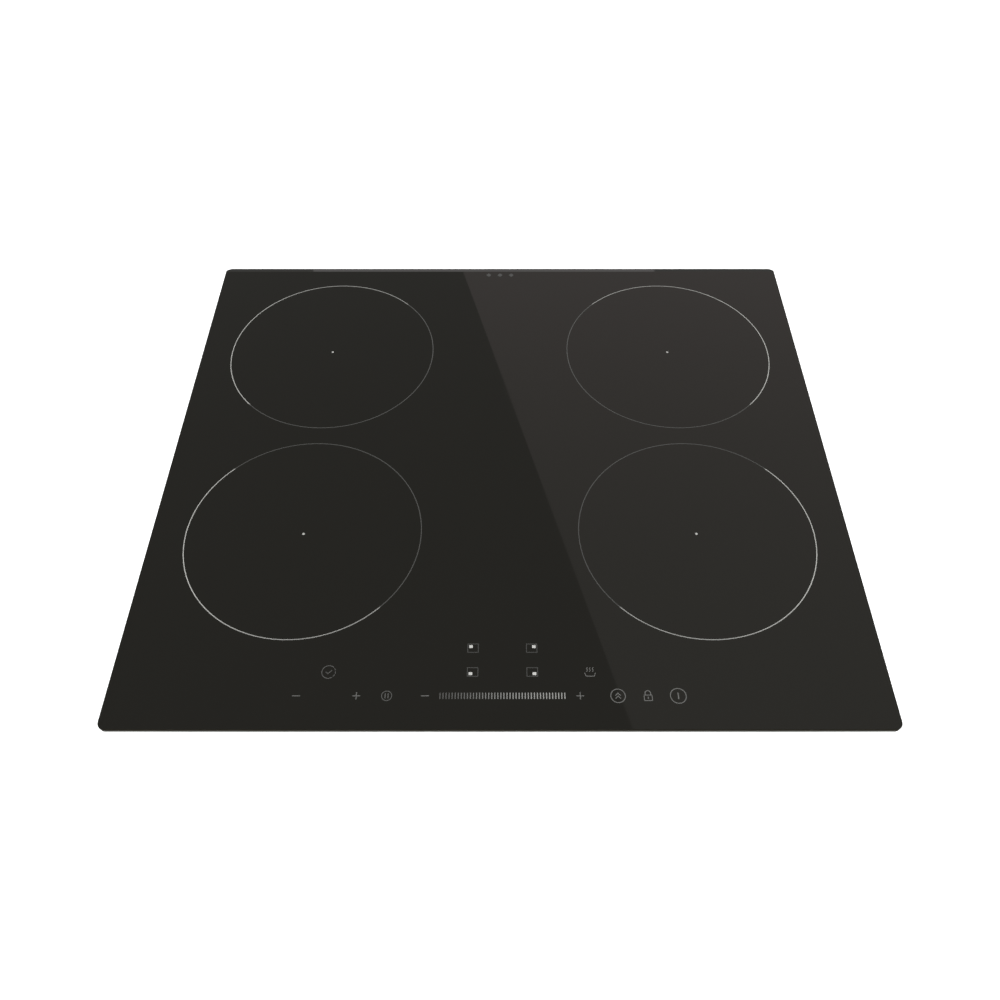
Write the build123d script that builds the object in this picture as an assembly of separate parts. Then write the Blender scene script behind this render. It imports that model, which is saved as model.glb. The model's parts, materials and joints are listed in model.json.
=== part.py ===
"""Built-in electric induction cooktop: glass-ceramic plate, steel case and everything inside it.

Millimetres. +X is to the right, +Y to the rear wall, +Z up. The origin is the centre of the
underside. The user stands at -Y. Every piece is a solid of its own, written to parts/NAME.step.
"""
import math
import os

from build123d import *

# ---------------------------------------------------------------- driving dimensions, mm
GLASS_W, GLASS_D, GLASS_T = 590.0, 520.0, 4.0
GLASS_CORNER_R = 6.5
GLASS_CHAMFER = 0.5
REAR_BEVEL_W, REAR_BEVEL_DROP = 6.5, 1.5
SHEET = 0.8                                    # steel sheet of the case
WORKTOP_Z = 50.0                               # height of the worktop's upper face
GLASS_Z = WORKTOP_Z + 2.0                      # underside of the glass
TOP_Z = GLASS_Z + GLASS_T
PRINT_T = 0.06                                 # thickness of the fired enamel print

CASE_HALF_X = 274.0
CASE_REAR_Y = 241.0
CASE_FRONT_TOP_Y, CASE_FRONT_LOW_Y = -241.0, -232.0
CASE_CORNER_R = 10.0
RIM_Z = 1.4                                    # underside of the bottom cover's screwed rim
CASE_Z = RIM_Z + SHEET                         # underside of the side frame
LIP = 14.0                                     # width of the screwed lip and rim
FLANGE = 12.0                                  # width of the flange under the glass
LOUVRE_W, LOUVRE_Z, LOUVRE_X, LOUVRE_PITCH, LOUVRES = 3.5, (14.0, 32.0), 130.0, 9.0, 11
AIR_SLOT_W = 3.4
BEND_R = 0.9                                   # outer radius of the sheet's bends
SEAM_Y, SEAM_GAP = 26.0, 0.3                   # seams between the walls, behind the corners

GASKET_HALF, GASKET_W = (292.0, 257.0), 9.0
BEAD_W = 8.0
BEAD_HALF_W = 4.0                              # half the width of a pressed channel in the cover

ZONE_X, ZONE_REAR_Y, ZONE_FRONT_Y = 166.0, 130.5, -87.5
ZONE_R = 99.5
ZONE_LINE, ZONE_DOT_R = 0.75, 1.1
SYMBOL_LINE = 0.7
KEY_ROW_Y, LOW_ROW_Y, HIGH_ROW_Y = -233.5, -214.2, -194.2
MARK_X, MARK_Y, MARK_SIZE = (-12.0, 0.0, 12.0), 247.7, 4.0

TRAY_Z, TRAY_T = 30.0, 1.0
TRAY_X, TRAY_Y = (66.0, 264.0), (-186.0, 233.0)
FORMER_R, FORMER_Z = 94.0, 37.5
WINDING_R, WINDING_Z = (25.0, 90.0), (46.2, 51.4)
TURN_PITCH = 2.6
FERRITE_R, FERRITE_W = (28.0, 84.0), 14.0
FERRITE_GAP = 0.3
PIN_CIRCLE_R, PIN_R = 60.0, 2.5
SENSOR_R = 5.5

BOSS_Z, BOSS_R = 8.0, 4.5
BOARD_X, BOARD_Y, BOARD_T = (82.0, 248.0), (-130.0, 112.0), 1.6
BOARD_TOP = BOSS_Z + BOARD_T
HEAT_SINK_X, HEAT_SINK_Y = (118.0, 166.0), (-110.0, 60.0)
SWITCH_Y, SWITCH_W, SWITCHES = (-100.0, 30.0), 16.0, 4
CAPACITOR_X, CAPACITOR_Y = 206.0, (-103.0, -63.0, -23.0)
FAN_X, FAN_Y, FAN_SIZE, FAN_H = 165.0, 175.0, 80.0, 15.0
FAN_BORE_R, FAN_TIP_R, FAN_BLADES = 38.2, 36.5, 7
FAN_SEAT_R, FAN_SHAFT_R, FAN_HUB_R, FAN_BOLT = 17.0, 1.5, 15.0, 35.5

CONTROL_HALF_X, CONTROL_Y, CONTROL_Z = 160.0, (-237.5, -186.0), 41.0
CONTROL_WALL, CONTROL_BOARD_Z = 1.5, 44.0
LIGHT_BOX_X, LIGHT_BOX_Y, LIGHT_BOX_WALL = (-47.0, 51.0), (-235.0, -227.0), 1.6

CLIP_Y, CLIP_W, CLIP_T, CLIP_Z = 150.0, 22.0, 0.8, 41.6

WINDOW_X, WINDOW_Z = (-26.0, 58.0), (3.8, 32.0)
BEZEL_T, LID_T, LID_GAP = 1.2, 1.6, 0.2
LID_AXIS_Y, LID_AXIS_Z = 243.4, 34.5
LID_PIN_R, LID_BARREL_R, RUNNING_GAP = 1.0, 1.5, 0.05
GLAND_X, GLAND_Z, GLAND_BORE_R = -46.0, 15.0, 6.0
GLAND_Y = (231.0, 243.0)
POLE_BLOCK_X, POLE_BLOCK_Y, POLE_BLOCK_Z = (-19.0, 51.0), (207.0, 223.0), (5.5, 21.5)
POLE_Y, WELL_R, WELL_Z = 215.0, 3.2, 14.0
CLAMP_Y, CLAMP_SCREW_X = 216.0, 11.0

SCREW_R, SCREW_HOLE_R = 1.5, 1.6
CASE_SCREW_R, CASE_SCREW_HOLE_R = 1.9, 2.0


# ---------------------------------------------------------------- helpers
def block(xs, ys, zs):
    """A box between two values on each axis, in either order."""
    middle = [(low + high) / 2 for low, high in (xs, ys, zs)]
    size = [abs(high - low) for low, high in (xs, ys, zs)]
    return Pos(*middle) * Box(*size)


def rod(x, y, r, zs):
    """An upright cylinder."""
    return Pos(x, y, (zs[0] + zs[1]) / 2) * Cylinder(r, zs[1] - zs[0])


def pipe(x, y, r_in, r_out, zs):
    """An upright round tube."""
    return rod(x, y, r_out, zs) - rod(x, y, r_in, zs)


def along_x(xs, y, z, r):
    """A cylinder that lies along X."""
    return Pos((xs[0] + xs[1]) / 2, y, z) * Rot(0, 90, 0) * Cylinder(r, xs[1] - xs[0])


def along_y(x, ys, z, r):
    """A cylinder that lies along Y."""
    return Pos(x, (ys[0] + ys[1]) / 2, z) * Rot(90, 0, 0) * Cylinder(r, ys[1] - ys[0])


def upright_slot(width, zs, depth):
    """A prism along Y with an upright, round-ended outline."""
    outline = Pos(0, (zs[0] + zs[1]) / 2) * SlotOverall(zs[1] - zs[0], width, rotation=90)
    return extrude(Plane.XZ * outline, depth / 2, both=True)


def flat_slot(xs, ys, zs):
    """A flat plate with two round ends, along X or Y, whichever is longer."""
    size = [abs(high - low) for low, high in (xs, ys)]
    turn = 0 if size[0] > size[1] else 90
    outline = SlotOverall(max(size), min(size), rotation=turn)
    return extrude(Pos((xs[0] + xs[1]) / 2, (ys[0] + ys[1]) / 2, zs[0]) * outline, zs[1] - zs[0])


def plate(half_x, ys, r, zs):
    """A flat plate with rounded corners, symmetric in X."""
    outline = RectangleRounded(2 * half_x, ys[1] - ys[0], r)
    return extrude(Pos(0, (ys[0] + ys[1]) / 2, zs[0]) * outline, zs[1] - zs[0])


def ring_plate(half, width, r, zs):
    """A flat rectangular ring centred on the origin."""
    outer = plate(half[0], (-half[1], half[1]), r, zs)
    return outer - plate(half[0] - width, (width - half[1], half[1] - width), r / 2, zs)


def group(parts):
    """Separate solids that share one node."""
    return Compound(children=[solid for part in parts for solid in part.solids()])


def bent_strip(points, radius, thickness, y_mid, width):
    """Strip metal whose centre line is given as (x, z) points."""
    section = Plane.XZ * trace(FilletPolyline(*points, radius=radius), thickness)
    return Pos(0, y_mid, 0) * extrude(section, width / 2, both=True)


def polar(r, degrees, centre=(0.0, 0.0)):
    """The point at a radius and an angle from a centre."""
    angle = math.radians(degrees)
    return centre[0] + r * math.cos(angle), centre[1] + r * math.sin(angle)


def spread(low, high, count):
    """Evenly spaced values from low to high."""
    return [low + (high - low) * i / (count - 1) for i in range(count)]


def case_front(z):
    """Outer Y of the leaning front wall at a height."""
    rise = (z - CASE_Z) / (WORKTOP_Z - CASE_Z)
    return CASE_FRONT_LOW_Y + rise * (CASE_FRONT_TOP_Y - CASE_FRONT_LOW_Y)


def case_block(inset, z_low, z_high):
    """The case's outer form moved inwards all round: only the front wall leans."""
    sections = []
    for z in (z_low, z_high):
        ys = (case_front(z) + inset, CASE_REAR_Y - inset)
        outline = RectangleRounded(2 * (CASE_HALF_X - inset), ys[1] - ys[0], CASE_CORNER_R - inset)
        sections.append(Pos(0, (ys[0] + ys[1]) / 2, z) * outline)
    return loft(sections, ruled=True)


# ---------------------------------------------------------------- places that repeat
SIDES = {"left": -1, "right": 1}
COILS = {
    f"{row}_{side}": (sign * ZONE_X, y)
    for side, sign in SIDES.items()
    for row, y in (("front", ZONE_FRONT_Y), ("rear", ZONE_REAR_Y))
}
RIM_MID = LIP / 2
CASE_SCREWS = (
    [(x, CASE_REAR_Y - RIM_MID) for x in (-225.0, -90.0, 90.0, 225.0)]
    + [(x, CASE_FRONT_LOW_Y + RIM_MID) for x in (-225.0, -90.0, 90.0, 225.0)]
    + [(sign * (CASE_HALF_X - RIM_MID), y) for sign in (-1, 1) for y in (-80.0, 80.0)]
)
FOOT_X, FOOT_Y = (73.0, 255.0), (-160.0, 207.0)
BOARD_HOLE_X, BOARD_HOLE_Y = (88.0, 242.0), (-124.0, 106.0)


def tray_feet(sign):
    return [(sign * x, y) for x in FOOT_X for y in FOOT_Y]


def board_holes(sign):
    return [(sign * x, y) for x in BOARD_HOLE_X for y in BOARD_HOLE_Y]


def clamp_screws():
    return [(GLAND_X + sign * CLAMP_SCREW_X, CLAMP_Y) for sign in (-1, 1)]


# ---------------------------------------------------------------- glass and its print
def glass_plate():
    """Glass-ceramic with rounded corners, ground edges and a bevelled rear edge."""
    glass = plate(GLASS_W / 2, (-GLASS_D / 2, GLASS_D / 2), GLASS_CORNER_R, (GLASS_Z, TOP_Z))
    rims = glass.faces().filter_by(Axis.Z)
    glass = chamfer(rims.edges(), GLASS_CHAMFER)
    rear = GLASS_D / 2
    wedge = Polygon(
        (rear - REAR_BEVEL_W, TOP_Z), (rear + 1, TOP_Z - REAR_BEVEL_DROP * (1 + 1 / REAR_BEVEL_W)),
        (rear + 1, TOP_Z + 1), (rear - REAR_BEVEL_W, TOP_Z + 1), align=None,
    )
    return glass - extrude(Plane.YZ * wedge, GLASS_W / 2, both=True)


def printed(sketches):
    """Flat sketches turned into a thin print on the glass."""
    return group([extrude(Pos(0, 0, TOP_Z) * sketch, PRINT_T) for sketch in sketches])


def line_ring(r, width):
    return Circle(r + width / 2) - Circle(r - width / 2)


def zone_rings():
    """One thin circle and one centre dot for each cooking zone."""
    sketches = []
    for x, y in COILS.values():
        sketches.append(Pos(x, y) * line_ring(ZONE_R, ZONE_LINE))
        sketches.append(Pos(x, y) * Circle(ZONE_DOT_R))
    return printed(sketches)


def minus_sign():
    return Rectangle(6.0, SYMBOL_LINE)


def plus_sign():
    return Rectangle(5.8, SYMBOL_LINE) + Rectangle(SYMBOL_LINE, 5.8)


def pause_key():
    """A ring round two upright bars."""
    bars = Pos(-1.1, 0) * Rectangle(0.8, 4.0) + Pos(1.1, 0) * Rectangle(0.8, 4.0)
    return line_ring(3.8, 0.6) + bars


def boost_key():
    """A ring round two chevrons that point to the rear."""
    chevron = trace(Polyline((-2.0, -1.0), (0.0, 1.0), (2.0, -1.0)), SYMBOL_LINE)
    return line_ring(5.4, SYMBOL_LINE) + Pos(0, 1.2) * chevron + Pos(0, -1.2) * chevron


def power_key():
    """A ring round a slim upright bar."""
    return line_ring(5.9, SYMBOL_LINE) + Rectangle(0.9, 5.2)


def lock_key():
    """A padlock: a body with a shackle and a keyhole."""
    body = Pos(0, -1.6) * (RectangleRounded(6.6, 5.0, 0.8) - Rectangle(5.4, 3.8))
    shackle = (line_ring(2.1, SYMBOL_LINE) & Pos(0, 1.5) * Rectangle(6.0, 3.0))
    legs = Rectangle(0.7, 1.2)
    keyhole = Pos(0, -1.6) * Rectangle(SYMBOL_LINE, 1.8)
    return body + Pos(0, 2.0) * shackle + Pos(-2.1, 1.4) * legs + Pos(2.1, 1.4) * legs + keyhole


def timer_key():
    """A clock: a ring that is broken up on its right side, and two hands."""
    ring = line_ring(5.2, 0.6)
    for angle in (-50.0, -20.0, 10.0, 40.0):
        ring -= Rot(0, 0, angle) * Pos(5.2, 0) * Rectangle(1.6, 0.9)
    return ring + trace(Polyline((-2.2, 0.2), (-0.4, -1.4), (2.4, 1.4)), 0.6)


def warm_key():
    """A dish with three lines of steam over it."""
    dish = trace(FilletPolyline((-4.0, -0.6), (-3.2, -3.4), (3.2, -3.4), (4.0, -0.6), radius=1.0), 0.6)
    steam = FilletPolyline((-0.5, 0.0), (0.5, 1.2), (-0.5, 2.4), (0.5, 3.6), radius=0.5)
    for x in (-2.2, 0.0, 2.2):
        dish += Pos(x, 0.2) * trace(steam, 0.5)
    return dish


def zone_icon(corner_x, corner_y):
    """A slim frame with a filled spot in the corner that says which zone it stands for."""
    width, depth, line, inset, spot_w, spot_d = 8.7, 7.7, 0.6, 1.3, 2.8, 2.4
    frame = Rectangle(width, depth) - Rectangle(width - 2 * line, depth - 2 * line)
    spot_x = corner_x * (width / 2 - inset - spot_w / 2)
    spot_y = corner_y * (depth / 2 - inset - spot_d / 2)
    return frame + Pos(spot_x, spot_y) * Rectangle(spot_w, spot_d)


KEYS = [
    (minus_sign, -152.2, KEY_ROW_Y), (plus_sign, -107.2, KEY_ROW_Y), (pause_key, -84.6, KEY_ROW_Y),
    (minus_sign, -56.0, KEY_ROW_Y), (plus_sign, 59.9, KEY_ROW_Y), (boost_key, 88.1, KEY_ROW_Y),
    (lock_key, 110.5, KEY_ROW_Y), (power_key, 133.1, KEY_ROW_Y), (timer_key, -130.1, LOW_ROW_Y),
    (warm_key, 68.3, LOW_ROW_Y),
]
ZONE_ICONS = [(-20.8, HIGH_ROW_Y, -1, 1), (24.5, HIGH_ROW_Y, 1, 1),
              (-20.8, LOW_ROW_Y, -1, -1), (24.5, LOW_ROW_Y, 1, -1)]
SLIDER_X, SLIDER_BARS, SLIDER_BAR = (-44.8, 48.4), 42, (0.8, 5.0)


def key_symbols():
    """The touch keys' symbols, the power slider's bars and a plain mark at the rear."""
    sketches = [Pos(x, y) * symbol() for symbol, x, y in KEYS]
    sketches += [Pos(x, y) * zone_icon(cx, cy) for x, y, cx, cy in ZONE_ICONS]
    for x in spread(*SLIDER_X, SLIDER_BARS):
        sketches.append(Pos(x, KEY_ROW_Y) * Rectangle(*SLIDER_BAR))
    diamond = Rot(0, 0, 45) * Rectangle(MARK_SIZE, MARK_SIZE)
    sketches += [Pos(x, MARK_Y) * diamond for x in MARK_X]
    return printed(sketches)


def seal_gasket():
    """Foam strip between the glass and the worktop."""
    return ring_plate(GASKET_HALF, GASKET_W, GLASS_CORNER_R, (WORKTOP_Z, GLASS_Z))


def bond_bead():
    """Silicone that glues the flange to the glass, left out over the touch keys."""
    half = (CASE_HALF_X - 1.0, CASE_REAR_Y - 1.0)
    bead = ring_plate(half, BEAD_W, CASE_CORNER_R, (WORKTOP_Z, GLASS_Z))
    gap_x = CONTROL_HALF_X + 5.0
    return bead - block((-gap_x, gap_x), (-GLASS_D / 2, BEAD_W - half[1] + 1.0), (0, TOP_Z))


# ---------------------------------------------------------------- case
def case_frame():
    """All four sheet steel walls in one, with a flange under the glass and a lip over the cover."""
    frame = case_block(0.0, CASE_Z, WORKTOP_Z)
    frame = fillet(frame.edges().group_by(Axis.Z)[0], BEND_R)
    frame -= case_block(SHEET, CASE_Z + SHEET, WORKTOP_Z - SHEET)
    lip_hole = plate(CASE_HALF_X - LIP, (0, CASE_REAR_Y - CASE_FRONT_LOW_Y - 2 * LIP), 4.0, (0, 10))
    frame -= Pos(0, CASE_FRONT_LOW_Y + LIP, 0) * lip_hole
    inner = CASE_HALF_X - FLANGE
    frame -= plate(inner, (FLANGE + CASE_FRONT_TOP_Y, CASE_REAR_Y - FLANGE), 4.0, (45, 60))
    key_gap = CONTROL_HALF_X + 5.0
    louvre = upright_slot(LOUVRE_W, LOUVRE_Z, 30.0)
    cuts = [block((-key_gap, key_gap), (CASE_FRONT_TOP_Y + 1.2, 0.0), (WORKTOP_Z - 2, 60))]
    cuts += [rod(x, y, CASE_SCREW_HOLE_R, (0, 5)) for x, y in CASE_SCREWS]
    for sign in (-1, 1):
        for x in spread(LOUVRE_X, LOUVRE_X + (LOUVRES - 1) * LOUVRE_PITCH, LOUVRES):
            cuts += [Pos(sign * x, y, 0) * louvre for y in (-CASE_REAR_Y, CASE_REAR_Y)]
        for y in (-CLIP_Y, CLIP_Y):
            slot = (y - CLIP_W / 2 - 1, y + CLIP_W / 2 + 1)
            cuts.append(block((sign * 260, sign * 280), slot, (CLIP_Z - 1.4, CLIP_Z + 1.4)))
    cuts.append(block(WINDOW_X, (230, 250), WINDOW_Z))
    cuts.append(along_y(GLAND_X, (230, 250), GLAND_Z, GLAND_BORE_R + 2.0))
    return frame - cuts


def case_walls():
    """The four folded walls, with the two long ones going round the corners."""
    frame = case_frame()
    reach, seam_front, seam_rear = 300.0, CASE_FRONT_TOP_Y + SEAM_Y, CASE_REAR_Y - SEAM_Y
    zs = (0.0, TOP_Z)
    return {
        "front_wall": frame & block((-reach, reach), (-reach, seam_front), zs),
        "rear_wall": frame & block((-reach, reach), (seam_rear, reach), zs),
        "left_wall": frame & block((-reach, 0), (seam_front + SEAM_GAP, seam_rear - SEAM_GAP), zs),
        "right_wall": frame & block((0, reach), (seam_front + SEAM_GAP, seam_rear - SEAM_GAP), zs),
    }


def stiffening_beads(inset):
    """Outlines of the cover's pressed channels, moved inwards: the x range and y range of each."""
    half = BEAD_HALF_W - inset
    beads = [((70 + inset, 240 - inset), (y - half, y + half)) for y in (-60, -20, 20, 60)]
    beads += [((inset - 240, -70 - inset), ys) for _, ys in beads]
    return beads + [((x - half, x + half), (inset - 170, 150 - inset)) for x in (-40, 0, 40)]


def inlet_slots(x_fan):
    """Slots under a fan: chords of one circle."""
    slots = []
    for dx in spread(-28.0, 28.0, 9):
        reach = math.sqrt((FAN_BORE_R - 2) ** 2 - dx ** 2)
        xs = (x_fan + dx - AIR_SLOT_W / 2, x_fan + dx + AIR_SLOT_W / 2)
        slots.append(flat_slot(xs, (FAN_Y - reach, FAN_Y + reach), (-1, 3)))
    return slots


def bottom_cover():
    """Pressed steel floor: a sunk panel, a raised screwed rim, posts, beads and air slots."""
    ys = (CASE_FRONT_LOW_Y, CASE_REAR_Y)
    panel_ys = (ys[0] + LIP, ys[1] - LIP)
    cover = plate(CASE_HALF_X, ys, CASE_CORNER_R, (RIM_Z, CASE_Z))
    pan = plate(CASE_HALF_X - LIP, panel_ys, 4.0, (0, CASE_Z))
    cover += fillet(pan.edges().group_by(Axis.Z)[0], BEND_R)
    cover -= plate(CASE_HALF_X - LIP - SHEET, (panel_ys[0] + SHEET, panel_ys[1] - SHEET), 3.2,
                   (SHEET, CASE_Z + 1))
    posts = [spot for sign in (-1, 1) for spot in tray_feet(sign) + board_holes(sign)]
    posts += clamp_screws()
    cover += [rod(x, y, BOSS_R, (SHEET, BOSS_Z)) for x, y in posts]
    cover += [flat_slot(*outline, (SHEET / 2, 2 * SHEET)) for outline in stiffening_beads(0.0)]
    cuts = [rod(x, y, SCREW_HOLE_R, (2.0, 10)) for x, y in posts]
    cuts += [rod(x, y, CASE_SCREW_HOLE_R, (0, 5)) for x, y in CASE_SCREWS]
    cuts += [flat_slot(*outline, (-1, SHEET)) for outline in stiffening_beads(SHEET)]
    for sign in (-1, 1):
        cuts += inlet_slots(sign * FAN_X)
        for x in spread(90.0, 240.0, 20):
            xs = (sign * x - AIR_SLOT_W / 2, sign * x + AIR_SLOT_W / 2)
            cuts.append(flat_slot(xs, (-190, -145), (-1, 3)))
    return cover - cuts


def case_screws():
    """Pan-head screws that hold the bottom cover to the side frame."""
    head_r, head_z, recess_z = 3.9, 0.1, 0.8
    head = rod(0, 0, head_r, (head_z, RIM_Z))
    head = fillet(head.edges().group_by(Axis.Z)[0], 0.7)
    for xs, ys in (((-2.1, 2.1), (-0.4, 0.4)), ((-0.4, 0.4), (-2.1, 2.1))):
        head -= block(xs, ys, (0, recess_z))
    screw = head + rod(0, 0, CASE_SCREW_R, (RIM_Z, 8.0))
    return group([Pos(x, y, 0) * Rot(0, 0, 7 * x + 3 * y) * screw for x, y in CASE_SCREWS])


def inner_screws():
    """Identical pan-head screws for the trays, the power boards and the cable clamp."""
    seats = [(spot, BOSS_Z + TRAY_T) for sign in (-1, 1) for spot in tray_feet(sign)]
    seats += [(spot, BOARD_TOP) for sign in (-1, 1) for spot in board_holes(sign)]
    seats += [(spot, BOSS_Z + 1.2) for spot in clamp_screws()]
    return group([
        rod(x, y, 3.0, (z, z + 1.6)) + rod(x, y, SCREW_R, (z - 6.0, z)) for (x, y), z in seats
    ])


def worktop_clip(sign, y):
    """Spring strip hooked in a wall slot: its belly presses on the side of the cut-out."""
    points = [(270.8, CLIP_Z + 3.6), (270.8, CLIP_Z), (277.0, CLIP_Z), (281.4, 25.0), (278.4, 12.0)]
    return bent_strip([(sign * x, z) for x, z in points], 1.2, CLIP_T, y, CLIP_W)


# ---------------------------------------------------------------- mains connection
def terminal_box():
    """Plastic tub in the rear wall's window, with a bezel outside and two hinge ears."""
    gap, wall = 0.2, 1.5
    outer = (WINDOW_X[0] + gap, WINDOW_X[1] - gap)
    zs = (WINDOW_Z[0] + gap, WINDOW_Z[1] - gap)
    tub = block(outer, (204.0, CASE_REAR_Y), zs)
    bezel = block((WINDOW_X[0] - 6, WINDOW_X[1] + 6), (CASE_REAR_Y, CASE_REAR_Y + BEZEL_T),
                  (WINDOW_Z[0] - 1, LID_AXIS_Z - LID_BARREL_R - 0.4))
    box = tub + bezel
    box -= block((outer[0] + wall, outer[1] - wall), (204.0 + wall, 260.0), (zs[0] + wall, zs[1] - wall))
    box -= along_x((WINDOW_X[0] - 2, WINDOW_X[0] + 4), CLAMP_Y + 3, GLAND_Z, GLAND_BORE_R + 0.5)
    for x in (WINDOW_X[0] - 6, WINDOW_X[1] + 3):
        ear = block((x, x + 3), (CASE_REAR_Y, 244.8), (24.0, LID_AXIS_Z + 2.4))
        box += ear
    return box - along_x((WINDOW_X[0] - 10, WINDOW_X[1] + 10), LID_AXIS_Y, LID_AXIS_Z,
                         LID_PIN_R + RUNNING_GAP)


def terminal_cover():
    """Lid over the terminals, with a barrel and two stub pins at its upper edge."""
    xs = (WINDOW_X[0] - 2.6, WINDOW_X[1] + 2.6)
    inner_y = CASE_REAR_Y + BEZEL_T + LID_GAP
    lid = block(xs, (inner_y, inner_y + LID_T), (WINDOW_Z[0] - 0.5, LID_AXIS_Z))
    low_corners = lid.edges().filter_by(Axis.Y).group_by(Axis.Z)[0]
    lid = fillet(low_corners, 2.5)
    lid = chamfer(lid.faces().sort_by(Axis.Y)[-1].edges().filter_by(lambda e: e.center().Z < 33), 0.5)
    lid += along_x(xs, LID_AXIS_Y, LID_AXIS_Z, LID_BARREL_R)
    lid += along_x((xs[0] - 3.0, xs[1] + 3.0), LID_AXIS_Y, LID_AXIS_Z, LID_PIN_R)
    for z in (10.0, 14.0, 18.0):
        lid -= block((8.0, 24.0), (inner_y + LID_T - 0.5, 250.0), (z, z + 1.2))
    return lid


TERMINAL_X = spread(-12.0, 44.0, 5)


def terminal_block():
    """Five-pole block with a screw well and a wire hole for each pole."""
    body = block(POLE_BLOCK_X, POLE_BLOCK_Y, POLE_BLOCK_Z)
    cuts = [rod(x, POLE_Y, WELL_R, (WELL_Z, 30.0)) for x in TERMINAL_X]
    cuts += [along_y(x, (POLE_Y + 4.0, 230.0), 11.0, 2.6) for x in TERMINAL_X]
    return body - cuts


def terminal_screws():
    """Slotted brass screws in the wells of the terminal block."""
    screws = []
    for x in TERMINAL_X:
        slot = block((x - 4, x + 4), (POLE_Y - 0.4, POLE_Y + 0.4), (WELL_Z + 2.6, WELL_Z + 4.0))
        screws.append(rod(x, POLE_Y, WELL_R - 0.3, (WELL_Z, WELL_Z + 3.4)) - slot)
    return group(screws)


def cable_grommet():
    """Rubber sleeve in the rear wall that the mains cable passes through."""
    sleeve = along_y(GLAND_X, GLAND_Y, GLAND_Z, GLAND_BORE_R + 1.9)
    collar = along_y(GLAND_X, (CASE_REAR_Y, GLAND_Y[1]), GLAND_Z, GLAND_BORE_R + 4.0)
    sleeve += fillet(collar.edges().group_by(Axis.Y)[-1], 1.2)
    sleeve += along_y(GLAND_X, (CASE_REAR_Y - SHEET - 3, CASE_REAR_Y - SHEET), GLAND_Z, GLAND_BORE_R + 3.5)
    return sleeve - along_y(GLAND_X, (220.0, 250.0), GLAND_Z, GLAND_BORE_R)


def cable_clamp():
    """Saddle strap that grips the cable inside the case."""
    reach, width, grip, thick = CLAMP_SCREW_X + 3.5, 10.0, GLAND_BORE_R + 0.2, 1.2
    ys = (CLAMP_Y - width / 2, CLAMP_Y + width / 2)
    foot_z = (BOSS_Z, BOSS_Z + thick)
    strap = along_y(GLAND_X, ys, GLAND_Z, grip + thick)
    strap += block((GLAND_X - grip - thick, GLAND_X + grip + thick), ys, (BOSS_Z, GLAND_Z))
    strap += block((GLAND_X - reach, GLAND_X + reach), ys, foot_z)
    strap -= along_y(GLAND_X, (200, 230), GLAND_Z, grip)
    strap -= block((GLAND_X - grip, GLAND_X + grip), (200, 230), (0, GLAND_Z))
    return strap - [rod(x, y, SCREW_HOLE_R, (0, 20)) for x, y in clamp_screws()]


# ---------------------------------------------------------------- cooking zones
def pin_angles():
    return (45.0, 135.0, 225.0, 315.0)


def spring_angles():
    return (0.0, 90.0, 180.0, 270.0)


def ferrite_angles():
    return spread(22.5, 337.5, 8)


def coil_tray(sign):
    """Folded aluminium carrier of one side's two coils, on four legs."""
    xs = (sign * TRAY_X[0], sign * TRAY_X[1])
    tray = block(xs, TRAY_Y, (TRAY_Z, TRAY_Z + TRAY_T))
    for x, inward in ((TRAY_X[0], 1), (TRAY_X[1], -1)):
        wall = (sign * x, sign * (x + inward * TRAY_T))
        tray += block(wall, TRAY_Y, (TRAY_Z - 5.0, TRAY_Z))
        for y in FOOT_Y:
            span = (y - 14.0, y + 14.0)
            tray += block(wall, span, (BOSS_Z, TRAY_Z))
            tray += block((sign * x, sign * (x + inward * 13.0)), span, (BOSS_Z, BOSS_Z + TRAY_T))
    cuts = [rod(x, y, SCREW_HOLE_R, (0, 20)) for x, y in tray_feet(sign)]
    for y in (ZONE_FRONT_Y, ZONE_REAR_Y):
        centre = (sign * ZONE_X, y)
        cuts.append(rod(*centre, 30.0, (20, 40)))
        for angle in pin_angles():
            cuts.append(rod(*polar(PIN_CIRCLE_R, angle, centre), PIN_R + 0.6, (20, 40)))
    return tray - cuts


def coil_former(centre):
    """Moulded disc that carries winding and ferrites, with a hub and four guide pins."""
    former = rod(*centre, FORMER_R, (FORMER_Z, WINDING_Z[0]))
    former += pipe(*centre, WINDING_R[1] + 0.4, FORMER_R, (WINDING_Z[0], WINDING_Z[0] + 2.5))
    former += rod(*centre, WINDING_R[0] - 1.0, (WINDING_Z[0], WINDING_Z[1] - 0.4))
    former += [rod(*polar(PIN_CIRCLE_R, a, centre), PIN_R, (29.0, FORMER_Z)) for a in pin_angles()]
    middle_r = (FERRITE_R[0] + FERRITE_R[1]) / 2
    pocket = Box(FERRITE_R[1] - FERRITE_R[0], FERRITE_W, 5.5)
    cuts = [rod(*centre, SENSOR_R + 0.3, (FORMER_Z + 2.5, 60.0))]
    for angle in ferrite_angles():
        cuts.append(Pos(*centre, FORMER_Z + 2.75) * Rot(0, 0, angle) * Pos(middle_r, 0, 0) * pocket)
    return former - cuts


def coil_winding(centre):
    """Flat litz winding: a ring whose upper face shows every turn."""
    turns = int((WINDING_R[1] - WINDING_R[0]) / TURN_PITCH)
    low, crown = WINDING_Z[0], WINDING_Z[1]
    valley = crown - 0.9
    points = [(WINDING_R[0], low), (WINDING_R[0], valley)]
    for turn in range(turns):
        start = WINDING_R[0] + turn * TURN_PITCH
        points += [(start + 0.7, crown), (start + TURN_PITCH - 0.7, crown), (start + TURN_PITCH, valley)]
    points.append((points[-1][0], low))
    section = Plane.XZ * make_face(Polyline(*points, close=True))
    return Pos(*centre, 0) * revolve(section, Axis.Z, 360)


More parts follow.
